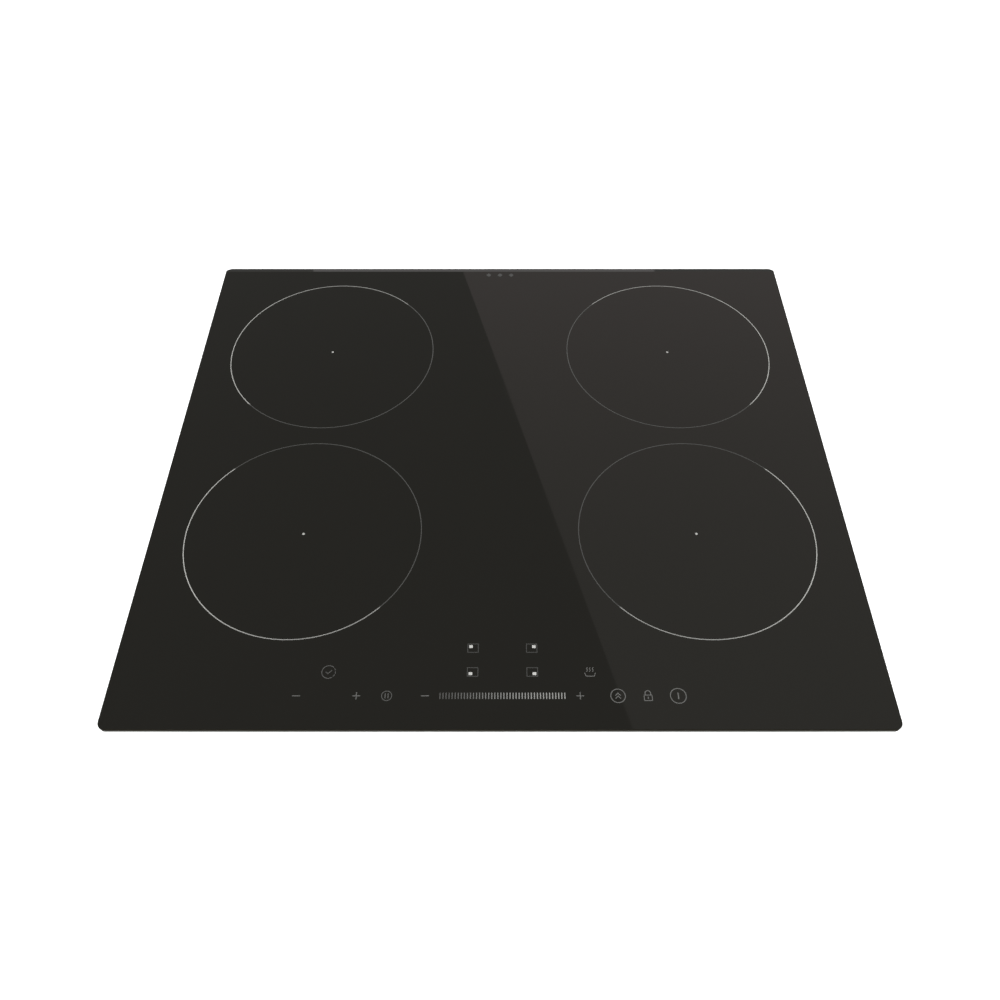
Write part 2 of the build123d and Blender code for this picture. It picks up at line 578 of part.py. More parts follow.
def coil_ferrites(centre):
    """Eight ferrite bars in the pockets of the former."""
    length = FERRITE_R[1] - FERRITE_R[0] - 2 * FERRITE_GAP
    middle_r = (FERRITE_R[0] + FERRITE_R[1]) / 2
    bar = Box(length, FERRITE_W - 2 * FERRITE_GAP, 4.3)
    z = FORMER_Z + 5.5 - 2.15
    return group([
        Pos(*centre, z) * Rot(0, 0, angle) * Pos(middle_r, 0, 0) * bar for angle in ferrite_angles()
    ])


def coil_sensor(centre):
    """Temperature sensor cap that stands in the hub and touches the glass."""
    cap = rod(*centre, SENSOR_R, (FORMER_Z + 2.5, GLASS_Z))
    return chamfer(cap.edges().group_by(Axis.Z)[-1], 0.8)


def coil_springs(centre):
    """Four bowed spring strips that press the former up to the glass."""
    low, high = TRAY_Z + TRAY_T + 0.3, FORMER_Z - 0.3
    points = [(-13.0, low), (-8.0, low), (-3.0, high), (3.0, high), (8.0, low), (13.0, low)]
    strip = bent_strip(points, 1.5, 0.6, 0.0, 8.0)
    return group([
        Pos(*polar(PIN_CIRCLE_R, angle, centre), 0) * Rot(0, 0, angle + 90) * strip
        for angle in spring_angles()
    ])


def mica_sheet(sign):
    """Insulating sheet between the glass and one side's coils, with a hole at each sensor."""
    xs = (sign * 67.0, sign * 260.0)
    sheet = block(xs, (-180.0, 227.0), (WINDING_Z[1], GLASS_Z))
    holes = [rod(sign * ZONE_X, y, SENSOR_R + 2.0, (40, 60)) for y in (ZONE_FRONT_Y, ZONE_REAR_Y)]
    return sheet - holes


# ---------------------------------------------------------------- power electronics
def power_board(sign):
    board = block((sign * BOARD_X[0], sign * BOARD_X[1]), BOARD_Y, (BOSS_Z, BOARD_TOP))
    return board - [rod(x, y, SCREW_HOLE_R, (0, 20)) for x, y in board_holes(sign)]


def heat_sink(sign):
    """Extruded base with upright fins along the air flow."""
    low, high = HEAT_SINK_X
    sink = block((sign * low, sign * high), HEAT_SINK_Y, (BOARD_TOP, BOARD_TOP + 4.0))
    for x in spread(low, high - 1.6, 10):
        sink += block((sign * x, sign * (x + 1.6)), HEAT_SINK_Y, (BOARD_TOP, 25.0))
    return sink


def transistors():
    """Power switches that stand against the last fin of each heat sink."""
    low, high = HEAT_SINK_X[1], HEAT_SINK_X[1] + 5.0
    return group([
        block((sign * low, sign * high), (y, y + SWITCH_W), (BOARD_TOP, 24.5))
        for sign in (-1, 1) for y in spread(*SWITCH_Y, SWITCHES)
    ])


def capacitors():
    """Film capacitors beside the transistors of each power board."""
    body = block((-16.0, 16.0), (-9.0, 9.0), (BOARD_TOP, 26.0))
    body = chamfer(body.edges().filter_by(Axis.Z), 1.0)
    return group([Pos(sign * CAPACITOR_X, y, 0) * body for sign in (-1, 1) for y in CAPACITOR_Y])


def fan_frame(sign):
    """Square frame with a round duct, a motor seat on four struts and a bearing tube."""
    x, low, half = sign * FAN_X, SHEET, FAN_SIZE / 2
    outline = block((x - half, x + half), (FAN_Y - half, FAN_Y + half), (low, low + FAN_H))
    frame = fillet(outline.edges().filter_by(Axis.Z), 4.0)
    frame -= rod(x, FAN_Y, FAN_BORE_R, (0, 20))
    for dx, dy in ((-1, -1), (-1, 1), (1, -1), (1, 1)):
        frame -= rod(x + dx * FAN_BOLT, FAN_Y + dy * FAN_BOLT, 2.15, (0, 20))
    seat_z = (low, low + 2.0)
    frame += rod(x, FAN_Y, FAN_SEAT_R, seat_z)
    ends = (FAN_SEAT_R - 1.0, FAN_BORE_R + 0.5)
    strut = block(ends, (-2.0, 2.0), seat_z)
    frame += [Pos(x, FAN_Y, 0) * Rot(0, 0, angle) * strut for angle in pin_angles()]
    frame += rod(x, FAN_Y, 3.5, (seat_z[1], 11.0))
    return frame - rod(x, FAN_Y, FAN_SHAFT_R + RUNNING_GAP, (0, 12))


def fan_rotor(sign):
    """Hub with its shaft and swept blades."""
    x = sign * FAN_X
    rotor = rod(x, FAN_Y, FAN_HUB_R, (4.2, 15.4)) - rod(x, FAN_Y, FAN_HUB_R - 1.6, (4.0, 13.8))
    rotor += rod(x, FAN_Y, FAN_SHAFT_R, (1.4, 14.0))
    root = FAN_HUB_R - 0.8
    blade = Pos((root + FAN_TIP_R) / 2, 0, 9.6) * Rot(36, 0, 0) * Box(FAN_TIP_R - root, 15.0, 1.2)
    for i in range(FAN_BLADES):
        rotor += Pos(x, FAN_Y, 0) * Rot(0, 0, 360 * i / FAN_BLADES) * blade
    return rotor


# ---------------------------------------------------------------- touch control
def control_carrier():
    """Plastic trough under the touch keys, on four legs."""
    half, wall, top = CONTROL_HALF_X, CONTROL_WALL, 51.4
    trough = block((-half, half), CONTROL_Y, (CONTROL_Z, top))
    trough -= block((wall - half, half - wall), (CONTROL_Y[0] + wall, CONTROL_Y[1] - wall),
                    (CONTROL_Z + wall, 60))
    for x in spread(-140.0, 140.0, 5):
        trough += block((x - 2, x + 2), (CONTROL_Y[0] + wall, CONTROL_Y[1] - wall),
                        (CONTROL_Z, CONTROL_BOARD_Z))
    trough += [rod(x, y, 4.0, (SHEET, CONTROL_Z)) for x in (-150.0, 150.0) for y in (-209.0, -192.0)]
    return trough


def control_board():
    ys = (CONTROL_Y[0] + CONTROL_WALL + 0.3, CONTROL_Y[1] - CONTROL_WALL - 0.3)
    half = CONTROL_HALF_X - CONTROL_WALL - 0.3
    return block((-half, half), ys, (CONTROL_BOARD_Z, CONTROL_BOARD_Z + BOARD_T))


def touch_pads():
    """Conductive foam pads that carry the touch from the glass to the board."""
    spots = [(x, max(y, -230.5)) for _, x, y in KEYS]
    return group([rod(x, y, 4.0, (CONTROL_BOARD_Z + BOARD_T, GLASS_Z)) for x, y in spots])


def light_guides():
    """Light boxes under the slider and under each zone symbol."""
    zs = (CONTROL_BOARD_Z + BOARD_T, GLASS_Z - 0.4)
    wall = LIGHT_BOX_WALL
    xs = (LIGHT_BOX_X[0] + wall, LIGHT_BOX_X[1] - wall)
    ys = (LIGHT_BOX_Y[0] + wall, LIGHT_BOX_Y[1] - wall)
    guides = [block(LIGHT_BOX_X, LIGHT_BOX_Y, zs) - block(xs, ys, (40, 60))]
    for x, y, _, _ in ZONE_ICONS:
        outer = block((x - 6, x + 6), (y - 5, y + 5), zs)
        guides.append(outer - block((x - 4.6, x + 4.6), (y - 3.8, y + 3.8), (40, 60)))
    return group(guides)


# ---------------------------------------------------------------- the whole cooktop
def pieces():
    """Every node's name and shape."""
    yield "glass_plate", glass_plate()
    yield "zone_rings", zone_rings()
    yield "key_symbols", key_symbols()
    yield "seal_gasket", seal_gasket()
    yield "bond_bead", bond_bead()
    yield from case_walls().items()
    yield "bottom_cover", bottom_cover()
    yield "case_screws", case_screws()
    yield "inner_screws", inner_screws()
    yield "terminal_box", terminal_box()
    yield "terminal_cover", terminal_cover()
    yield "terminal_block", terminal_block()
    yield "terminal_screws", terminal_screws()
    yield "cable_grommet", cable_grommet()
    yield "cable_clamp", cable_clamp()
    yield "control_carrier", control_carrier()
    yield "control_board", control_board()
    yield "touch_pads", touch_pads()
    yield "transistors", transistors()
    yield "capacitors", capacitors()
    yield "light_guides", light_guides()
    for side, sign in SIDES.items():
        yield f"{side}_coil_tray", coil_tray(sign)
        yield f"{side}_mica_sheet", mica_sheet(sign)
        yield f"{side}_power_board", power_board(sign)
        yield f"{side}_heat_sink", heat_sink(sign)
        yield f"{side}_fan_frame", fan_frame(sign)
        yield f"{side}_fan_rotor", fan_rotor(sign)
        for row, y in (("front", -CLIP_Y), ("rear", CLIP_Y)):
            yield f"{row}_{side}_clip", worktop_clip(sign, y)
    for name, centre in COILS.items():
        yield f"{name}_former", coil_former(centre)
        yield f"{name}_winding", coil_winding(centre)
        yield f"{name}_ferrites", coil_ferrites(centre)
        yield f"{name}_sensor", coil_sensor(centre)
        yield f"{name}_springs", coil_springs(centre)


os.makedirs("parts", exist_ok=True)
for node, shape in pieces():
    export_step(shape, f"parts/{node}.step")
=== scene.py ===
"""Looks of a built-in induction cooktop: finishes for every piece, and a pale studio round it."""
import json
import math

import bpy
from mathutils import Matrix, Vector

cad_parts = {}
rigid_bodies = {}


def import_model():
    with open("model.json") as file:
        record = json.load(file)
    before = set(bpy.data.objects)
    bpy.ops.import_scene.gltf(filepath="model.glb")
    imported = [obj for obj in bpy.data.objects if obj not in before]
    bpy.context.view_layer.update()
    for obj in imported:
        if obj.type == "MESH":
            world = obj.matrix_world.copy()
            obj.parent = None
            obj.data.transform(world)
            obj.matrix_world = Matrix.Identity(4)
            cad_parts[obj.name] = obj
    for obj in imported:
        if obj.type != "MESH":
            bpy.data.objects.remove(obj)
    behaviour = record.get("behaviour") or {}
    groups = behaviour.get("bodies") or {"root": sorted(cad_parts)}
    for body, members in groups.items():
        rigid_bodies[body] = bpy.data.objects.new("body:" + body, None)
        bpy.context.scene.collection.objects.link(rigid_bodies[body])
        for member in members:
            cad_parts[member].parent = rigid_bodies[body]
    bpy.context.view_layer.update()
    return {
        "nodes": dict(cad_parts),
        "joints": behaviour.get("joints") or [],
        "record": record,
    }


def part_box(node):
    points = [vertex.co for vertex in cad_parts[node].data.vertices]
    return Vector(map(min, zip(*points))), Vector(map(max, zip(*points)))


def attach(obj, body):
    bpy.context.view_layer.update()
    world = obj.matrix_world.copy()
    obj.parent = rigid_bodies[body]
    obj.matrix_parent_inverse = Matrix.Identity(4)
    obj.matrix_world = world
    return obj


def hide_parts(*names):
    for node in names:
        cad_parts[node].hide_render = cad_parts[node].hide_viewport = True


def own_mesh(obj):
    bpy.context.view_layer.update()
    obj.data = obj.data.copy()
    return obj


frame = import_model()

bl_info = {
    "name": "Induction Cooktop",
    "version": (1, 0, 0),
    "blender": (4, 5, 0),
    "location": "3D View > Sidebar > Cooktop",
    "description": "Finishes the pieces of a glass-ceramic induction cooktop and sets up its studio",
    "category": "Object",
}

SUBPARTS = frame["record"]["subparts"]
GLASS_LOW, GLASS_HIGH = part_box("glass_plate")
MM = 0.001

# Places of the touch control's marks, each a middle and half a width, from the glass's middle.
SLIDER_MIDDLE, SLIDER_HALF = Vector((1.8, -233.5)) * MM, Vector((48.0, 3.2)) * MM
ICONS_MIDDLE, ICONS_APART, ICON_HALF = Vector((1.85, -204.2)) * MM, Vector((22.65, 10.0)) * MM, 5 * MM
SPOTS_APART, SPOT_HALF = Vector((24.3, 11.35)) * MM, 1.45 * MM
PAUSE_X, PAUSE_HALF = -84.6 * MM, 5 * MM
TIMER_LOW_Y, TIMER_HIGH_X = -225 * MM, -100 * MM
FAINTER = 0.38                                # print that the pause and timer keys lack
SLIDER_FULL_X = 0.7 * SLIDER_HALF.x           # where the slider's bars reach full strength

# The zone circles' print.
DOT_REACH = 4 * MM                            # holds a zone's centre dot
PRINT_FADE = 1.5 * MM                         # half the length over which a circle's print changes
ARC_END = 0.64                                # print strength at the ends of a circle's strong half
BARE_GLASS = (0.008, 0.008, 0.007)            # shows through thin print

# Studio, in metres.
FLOOR_REACH, FLOOR_DROP = 9.0, 0.3 * MM
FLOOR_GLOW, GLOW_STARTS, GLOW_ENDS = 0.62, 0.2, 3.0
LAMP_SIZE = 1.6
LAMPS = {"front_light": (0.0, -1.3, 2.2), "left_light": (-2.2, -0.2, 2.2),
         "right_light": (2.2, -0.2, 2.2), "rear_light": (0.0, 3.4, 1.25)}
OVERHEAD_RISE, OVERHEAD_WIDTH = 1.8, 2.5      # over the glass, and to the right
OVERHEAD_SPARE = 0.2                          # share of its mirrored length, added at each end
SLANT_REAR_X, SLANT_FRONT_X = -41.4 * MM, 97 * MM   # where its edge shows, at the glass's two edges
LOW_PANEL_X, LOW_PANEL_Y, LOW_PANEL_Z = (-0.625, 0.517), 2.26, (0.49, 0.54)
LOW_PANEL_SHARE = 1.2


# ---------------------------------------------------------------- shader expressions
class Wire:
    """One output of a shader node. Arithmetic on it adds Math nodes."""

    def __init__(self, finish, socket):
        self.finish = finish
        self.socket = socket

    def _math(self, operation, first, second):
        return self.finish.node("ShaderNodeMath", {"operation": operation}, {0: first, 1: second})

    def __add__(self, other):
        return self._math("ADD", self, other)

    def __radd__(self, other):
        return self._math("ADD", other, self)

    def __sub__(self, other):
        return self._math("SUBTRACT", self, other)

    def __rsub__(self, other):
        return self._math("SUBTRACT", other, self)

    def __mul__(self, other):
        return self._math("MULTIPLY", self, other)

    def __rmul__(self, other):
        return self._math("MULTIPLY", other, self)

    def __gt__(self, other):
        return self._math("GREATER_THAN", self, other)

    def __lt__(self, other):
        return self._math("LESS_THAN", self, other)

    def __abs__(self):
        return self.finish.node("ShaderNodeMath", {"operation": "ABSOLUTE"}, {0: self})

    def at_least(self, other):
        return self._math("MAXIMUM", self, other)


class Finish:
    """A material, or the world, while its nodes are being made."""

    def __init__(self, name, library="materials"):
        self.made = getattr(bpy.data, library).new(name)
        self.made.use_nodes = True
        self.tree = self.made.node_tree
        self.tree.nodes.clear()

    def node(self, kind, settings=None, values=None, output=0):
        """Adds a node: its settings first, then the values or wires of its inputs."""
        node = self.tree.nodes.new(kind)
        for key, value in (settings or {}).items():
            setattr(node, key, value)
        for key, value in (values or {}).items():
            if isinstance(value, Wire):
                self.tree.links.new(value.socket, node.inputs[key])
            else:
                node.inputs[key].default_value = value
        return Wire(self, node.outputs[output]) if node.outputs else None

    def place(self):
        """The point in the cooktop's own frame, in metres."""
        return self.node("ShaderNodeTexCoord", output="Object")

    def axes(self):
        """The point's three coordinates, each as a value."""
        parts = self.node("ShaderNodeSeparateXYZ", values={0: self.place()})
        outputs = parts.socket.node.outputs
        return [Wire(self, outputs[axis]) for axis in ("X", "Y", "Z")]

    def noise(self, per_metre, detail=3.0, stretch=(1.0, 1.0, 1.0), rough=0.55):
        """Cloudy noise from 0 to 1 with this many features to the metre, finer along a stretched axis."""
        vector = self.node("ShaderNodeVectorMath", {"operation": "MULTIPLY"}, {0: self.place(), 1: stretch})
        values = {"Vector": vector, "Scale": per_metre, "Detail": detail, "Roughness": rough}
        return self.node("ShaderNodeTexNoise", values=values)

    def cells(self, per_metre, output="Distance"):
        """Cell pattern: the distance to each cell's middle, or one random colour a cell."""
        return self.node("ShaderNodeTexVoronoi", values={"Vector": self.place(), "Scale": per_metre},
                         output=output)

    def cell_values(self, per_metre):
        """One random value for each cell."""
        return self.node("ShaderNodeSeparateColor", values={0: self.cells(per_metre, "Color")})

    def ease(self, value, low, high, start=0.0, end=1.0):
        """A smooth step from start to end as the value goes from low to high."""
        values = {"Value": value, "From Min": low, "From Max": high, "To Min": start, "To Max": end}
        return self.node("ShaderNodeMapRange", {"interpolation_type": "SMOOTHSTEP"}, values)

    def mix(self, share, first, second):
        """A colour between two colours."""
        first, second = (c if isinstance(c, Wire) else (*c[:3], 1.0) for c in (first, second))
        return self.node("ShaderNodeMix", {"data_type": "RGBA"}, {0: share, 6: first, 7: second}, 2)

    def bump(self, height, depth):
        """Relief: the height value times a depth in metres."""
        return self.node("ShaderNodeBump", values={"Height": height, "Distance": depth})

    def shader(self, **inputs):
        """One surface shader. Names are its inputs with _ for spaces."""
        values = {name.replace("_", " "): value for name, value in inputs.items()}
        return self.node("ShaderNodeBsdfPrincipled", values=values)

    def end(self, shader, output="ShaderNodeOutputMaterial"):
        """Ends the nodes in this shader."""
        self.node(output, values={"Surface": shader})
        return self.made

    def surface(self, **inputs):
        """Ends the material in one surface shader with these inputs."""
        return self.end(self.shader(**inputs))


def toned(tint, factor):
    """A colour made darker or lighter."""
    return [min(1.0, factor * c) for c in tint]


# ---------------------------------------------------------------- finishes
def centre(node):
    """The middle of a CAD node's box."""
    low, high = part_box(node)
    return (low + high) / 2


def black_glass_ceramic(look):
    """Polished black plate: faint smears, hairline scratches, and satin ground edges."""
    finish = Finish("black_glass_ceramic")
    x, y, z = finish.axes()
    edge = look.ground_edge
    to_side = (abs(x) - (GLASS_HIGH.x - edge)).at_least(abs(y) - (GLASS_HIGH.y - edge))
    ground = to_side > 0.0
    under = z < GLASS_LOW.z + 0.2 * MM
    smear = finish.ease(finish.noise(7.0, 4.0, (1.0, 1.6, 1.0)), 0.45, 0.75)
    hair = finish.ease(finish.noise(60.0, 2.0, (1.0, 14.0, 1.0)), 0.66, 0.74)
    body = finish.mix(finish.noise(18.0, 3.0), toned(look.colour, 1.06), toned(look.colour, 0.94))
    polished = finish.shader(Base_Color=body, Roughness=smear * 0.018 + hair * 0.02 + look.roughness,
                             Normal=finish.bump(finish.noise(3.5, 1.0), 0.02 * MM), IOR=1.5)
    grain = finish.noise(2500.0, 2.0)
    dull = finish.mix(grain, toned(look.colour, 0.8), toned(look.colour, 1.8))
    satin = finish.shader(Base_Color=dull, Roughness=grain * 0.2 + 0.45,
                          Normal=finish.bump(grain, 0.01 * MM), Specular_IOR_Level=0.12)
    share = ground.at_least(under)
    return finish.end(finish.node("ShaderNodeMixShader", values={0: share, 1: polished, 2: satin}))


def zone_enamel(look):
    """Fired print of the zone circles: strong on the half towards the nearest corner, thin on the other."""
    finish = Finish("zone_enamel")
    x, y, _ = finish.axes()
    front, rear = centre("front_right_sensor"), centre("rear_right_sensor")
    across = abs(x) - rear.x
    along = abs(y - (front.y + rear.y) / 2) - (rear.y - front.y) / 2
    outward = (across + along) * math.sqrt(0.5)
    strong = finish.ease(outward, -PRINT_FADE, PRINT_FADE)
    strong *= finish.ease(across, 0.0, look.circle_radius, ARC_END, 1.0)
    dot = (across * across + along * along) < DOT_REACH ** 2
    screen = finish.ease(finish.cells(1400.0), 0.2, 0.6, 1.0, 0.88)
    share = strong.at_least(dot).at_least(look.thin_print) * screen
    base = finish.mix(share, BARE_GLASS, look.colour)
    return finish.surface(Base_Color=base, Roughness=finish.noise(900.0) * 0.2 + 0.4, Specular_IOR_Level=0.3)


def symbol_enamel(look):
    """Fired print of the keys. The pause and timer keys are fainter, zone icons have thin frames round
    a strong spot, and the slider's bars grow stronger to the right."""
    finish = Finish("symbol_enamel")
    x, y, _ = finish.axes()
    slider = (abs(y - SLIDER_MIDDLE.y) < SLIDER_HALF.y) * (abs(x - SLIDER_MIDDLE.x) < SLIDER_HALF.x)
    rising = finish.ease(x, -SLIDER_HALF.x, SLIDER_FULL_X, look.slider_start, look.slider_end)
    across, along = abs(x - ICONS_MIDDLE.x), abs(y - ICONS_MIDDLE.y)
    icons = (abs(across - ICONS_APART.x) < ICON_HALF) * (abs(along - ICONS_APART.y) < ICON_HALF)
    spots = (abs(across - SPOTS_APART.x) < SPOT_HALF) * (abs(along - SPOTS_APART.y) < SPOT_HALF)
    rear = y > 0.0
    faint = (abs(x - PAUSE_X) < PAUSE_HALF).at_least((y > TIMER_LOW_Y) * (x < TIMER_HIGH_X))
    share = (1.0 - faint * FAINTER) * look.key_strength * (1.0 - slider) + slider * rising
    share = share * (1.0 - icons) + icons * look.icon_frame
    share = share * (1.0 - rear) + rear * look.rear_mark
    share = share.at_least(spots) * finish.ease(finish.noise(700.0), 0.2, 0.6, 0.88, 1.0)
    base = finish.mix(share, BARE_GLASS, look.symbol_colour)
    return finish.surface(Base_Color=base, Roughness=finish.noise(900.0) * 0.2 + 0.4, Specular_IOR_Level=0.3)


def zinc_sheet(name, tint, grain, look):
    """Hot-dipped zinc on steel sheet: a mosaic of crystals over fine rolling lines."""
    finish = Finish(name)
    crystal = finish.cell_values(1.0 / look.crystal)
    shade = crystal * 0.55 + finish.noise(25.0, 4.0) * 0.45
    lines = finish.noise(90.0, 4.0, grain)
    base = finish.mix(shade, toned(tint, 0.72), tint)
    scuffs = finish.ease(finish.noise(35.0, 6.0, rough=0.7), 0.58, 0.72)
    base = finish.mix(scuffs * 0.35, base, (0.42, 0.41, 0.39))
    rough = shade * 0.14 + lines * 0.16 + scuffs * 0.12 + look.steel_roughness
    relief = finish.bump(lines * 0.6 + crystal * 0.4, 0.02 * MM)
    return finish.surface(Base_Color=base, Roughness=rough, Metallic=1.0, Normal=relief)


def spring_steel():
    """Blued strip steel with drawing lines along its length."""
    finish = Finish("spring_steel")
    lines = finish.noise(160.0, 4.0, (1.0, 9.0, 1.0))
    tone = finish.noise(60.0, 2.0)
    base = finish.mix(tone, (0.23, 0.24, 0.27), (0.42, 0.42, 0.43))
    return finish.surface(Base_Color=base, Roughness=lines * 0.2 + 0.24, Metallic=1.0,
                          Normal=finish.bump(lines, 0.01 * MM))


def plated_screw():
    """Zinc plate with a thin yellowish bloom."""
    finish = Finish("plated_screw")
    bloom = finish.noise(300.0, 3.0)
    base = finish.mix(bloom, (0.50, 0.49, 0.45), (0.66, 0.64, 0.56))
    return finish.surface(Base_Color=base, Roughness=bloom * 0.2 + 0.22, Metallic=1.0,
                          Normal=finish.bump(finish.noise(1500.0), 0.01 * MM))


def bright_metal(name, dark, light, stretch=(1.0, 1.0, 1.0), rough=0.3):
    """Bare metal with drawing or machining lines."""
    finish = Finish(name)
    lines = finish.noise(220.0, 4.0, stretch)
    base = finish.mix(lines * 0.7 + finish.noise(20.0) * 0.3, dark, light)
    return finish.surface(Base_Color=base, Roughness=lines * 0.22 + rough, Metallic=1.0,
                          Normal=finish.bump(lines, 0.015 * MM))


def moulded_plastic(name, tint, rough=0.5, grain_per_metre=1600.0):
    """Injection-moulded plastic: spark-eroded grain, slight flow marks and rubbed patches."""
    finish = Finish(name)
    grain = finish.noise(grain_per_metre, 2.0)
    flow = finish.noise(22.0, 3.0, (1.0, 1.0, 3.0))
    base = finish.mix(flow, toned(tint, 0.86), toned(tint, 1.16))
    return finish.surface(Base_Color=base, Roughness=grain * 0.15 + flow * 0.1 + rough,
                          Normal=finish.bump(grain, 0.03 * MM))


def cellular_foam(name, tint):
    """Closed-cell sealing foam with fine pores."""
    finish = Finish(name)
    pore = finish.cells(1100.0)
    base = finish.mix(pore, toned(tint, 0.5), toned(tint, 1.5))
    return finish.surface(Base_Color=base, Roughness=pore * 0.1 + 0.85,
                          Normal=finish.bump(pore, 0.25 * MM))


def soft_rubber(name, tint):
    """Moulded rubber with a dull bloom."""
    finish = Finish(name)
    bloom = finish.noise(70.0, 4.0)
    base = finish.mix(bloom, tint, toned(tint, 1.7))
    return finish.surface(Base_Color=base, Roughness=bloom * 0.15 + 0.62,
                          Normal=finish.bump(finish.noise(2200.0), 0.02 * MM))


def circuit_laminate():
    """Green lacquered laminate with copper tracks showing through."""
    finish = Finish("circuit_laminate")
    tracks = finish.node("ShaderNodeTexBrick", {"offset": 0.37, "squash": 0.6},
                         {"Vector": finish.place(), "Scale": 60.0, "Mortar Size": 0.03,
                          "Brick Width": 0.9, "Row Height": 0.22}, "Fac")
    weave = finish.noise(400.0, 2.0)
    board = finish.mix(weave, (0.012, 0.10, 0.035), (0.02, 0.15, 0.05))
    base = finish.mix(tracks, board, (0.05, 0.24, 0.07))
    return finish.surface(Base_Color=base, Roughness=weave * 0.15 + 0.3,
                          Normal=finish.bump(tracks, 0.04 * MM))


def litz_winding():
    """Enamelled copper strands, twisted along every turn."""
    finish = Finish("litz_winding")
    strand = finish.node("ShaderNodeTexWave", {"wave_type": "BANDS", "bands_direction": "DIAGONAL"},
                         {"Vector": finish.place(), "Scale": 420.0, "Distortion": 2.0}, "Fac")
    base = finish.mix(strand, (0.23, 0.07, 0.025), (0.72, 0.30, 0.13))
    return finish.surface(Base_Color=base, Roughness=strand * 0.15 + 0.28, Metallic=1.0,
                          Normal=finish.bump(strand, 0.12 * MM))


def mica_laminate():
    """Pressed mica: overlapping flakes in warm grey."""
    finish = Finish("mica_laminate")
    flake = finish.cell_values(160.0)
    base = finish.mix(flake, (0.42, 0.34, 0.24), (0.66, 0.58, 0.46))
    return finish.surface(Base_Color=base, Roughness=flake * 0.25 + 0.35,
                          Normal=finish.bump(flake, 0.03 * MM))


def sintered_ferrite():
    """Dark fired ceramic with a fine open grain."""
    finish = Finish("sintered_ferrite")
    grain = finish.noise(1300.0, 3.0)
    base = finish.mix(grain, (0.02, 0.02, 0.022), (0.075, 0.075, 0.08))
    return finish.surface(Base_Color=base, Roughness=grain * 0.2 + 0.6,
                          Normal=finish.bump(grain, 0.05 * MM))


def give_finish(piece, material):
    """Puts a finish on one piece, with large flat faces shaded evenly."""
    piece.data.materials.clear()
    piece.data.materials.append(material)
    even = piece.modifiers.new("even_shading", "WEIGHTED_NORMAL")
    even.weight = 80
    even.keep_sharp = True


def dress(slot, material):
    """Puts one finish on every CAD node of a material slot."""
    for subpart in SUBPARTS:
        if subpart["material_slot"] == slot:
            give_finish(frame["nodes"][subpart["node"]], material)


# ---------------------------------------------------------------- settings
class GlassLook(bpy.types.PropertyGroup):
    colour: bpy.props.FloatVectorProperty(
        name="Glass Colour", description="Body colour of the glass-ceramic",
        subtype="COLOR", size=3, min=0.0, max=1.0, default=(0.0230, 0.0205, 0.0120))
    roughness: bpy.props.FloatProperty(
        name="Polish", description="Roughness of the polished upper face",
        subtype="FACTOR", min=0.0, max=1.0, default=0.018)
    ground_edge: bpy.props.FloatProperty(
        name="Ground Edge", description="Width of the satin edge",
        unit="LENGTH", min=0.0, default=0.45 * MM)


class PrintLook(bpy.types.PropertyGroup):
    colour: bpy.props.FloatVectorProperty(
        name="Circle Colour", description="Enamel of the zone circles",
        subtype="COLOR", size=3, min=0.0, max=1.0, default=(0.36, 0.36, 0.34))
    circle_radius: bpy.props.FloatProperty(
        name="Circle Radius", description="Distance over which the strong half fades to its ends",
        unit="LENGTH", min=0.001, default=99 * MM)
    thin_print: bpy.props.FloatProperty(
        name="Thin Print", description="Strength of the thinly printed half of each circle",
        subtype="FACTOR", min=0.0, max=1.0, default=0.12)
    symbol_colour: bpy.props.FloatVectorProperty(
        name="Symbol Colour", description="Enamel of the key symbols",
        subtype="COLOR", size=3, min=0.0, max=1.0, default=(0.42, 0.42, 0.40))
    key_strength: bpy.props.FloatProperty(
        name="Key Strength", description="Strength of the key symbols",
        subtype="FACTOR", min=0.0, max=1.0, default=0.21)
    icon_frame: bpy.props.FloatProperty(
        name="Icon Frames", description="Strength of the frames of the zone icons",
        subtype="FACTOR", min=0.0, max=1.0, default=0.075)
    slider_start: bpy.props.FloatProperty(
        name="Slider Start", description="Strength of the slider's first bar",
        subtype="FACTOR", min=0.0, max=1.0, default=0.12)
    slider_end: bpy.props.FloatProperty(
        name="Slider End", description="Strength of the slider's last bar",
        subtype="FACTOR", min=0.0, max=1.0, default=0.52)
    rear_mark: bpy.props.FloatProperty(
        name="Rear Mark", description="Strength of the mark at the rear edge",
        subtype="FACTOR", min=0.0, max=1.0, default=0.035)


class CaseLook(bpy.types.PropertyGroup):
    wall_colour: bpy.props.FloatVectorProperty(
        name="Wall Colour", description="Zinc of the case walls",
        subtype="COLOR", size=3, min=0.0, max=1.0, default=(0.60, 0.61, 0.62))
    cover_colour: bpy.props.FloatVectorProperty(
        name="Cover Colour", description="Zinc of the bottom cover",
        subtype="COLOR", size=3, min=0.0, max=1.0, default=(0.64, 0.65, 0.65))
    crystal: bpy.props.FloatProperty(
        name="Crystal Size", description="Size of the crystals in the zinc",
        unit="LENGTH", min=0.001, default=7 * MM)
    steel_roughness: bpy.props.FloatProperty(
        name="Steel Roughness", description="Least roughness of the zinc",
        subtype="FACTOR", min=0.0, max=1.0, default=0.26)


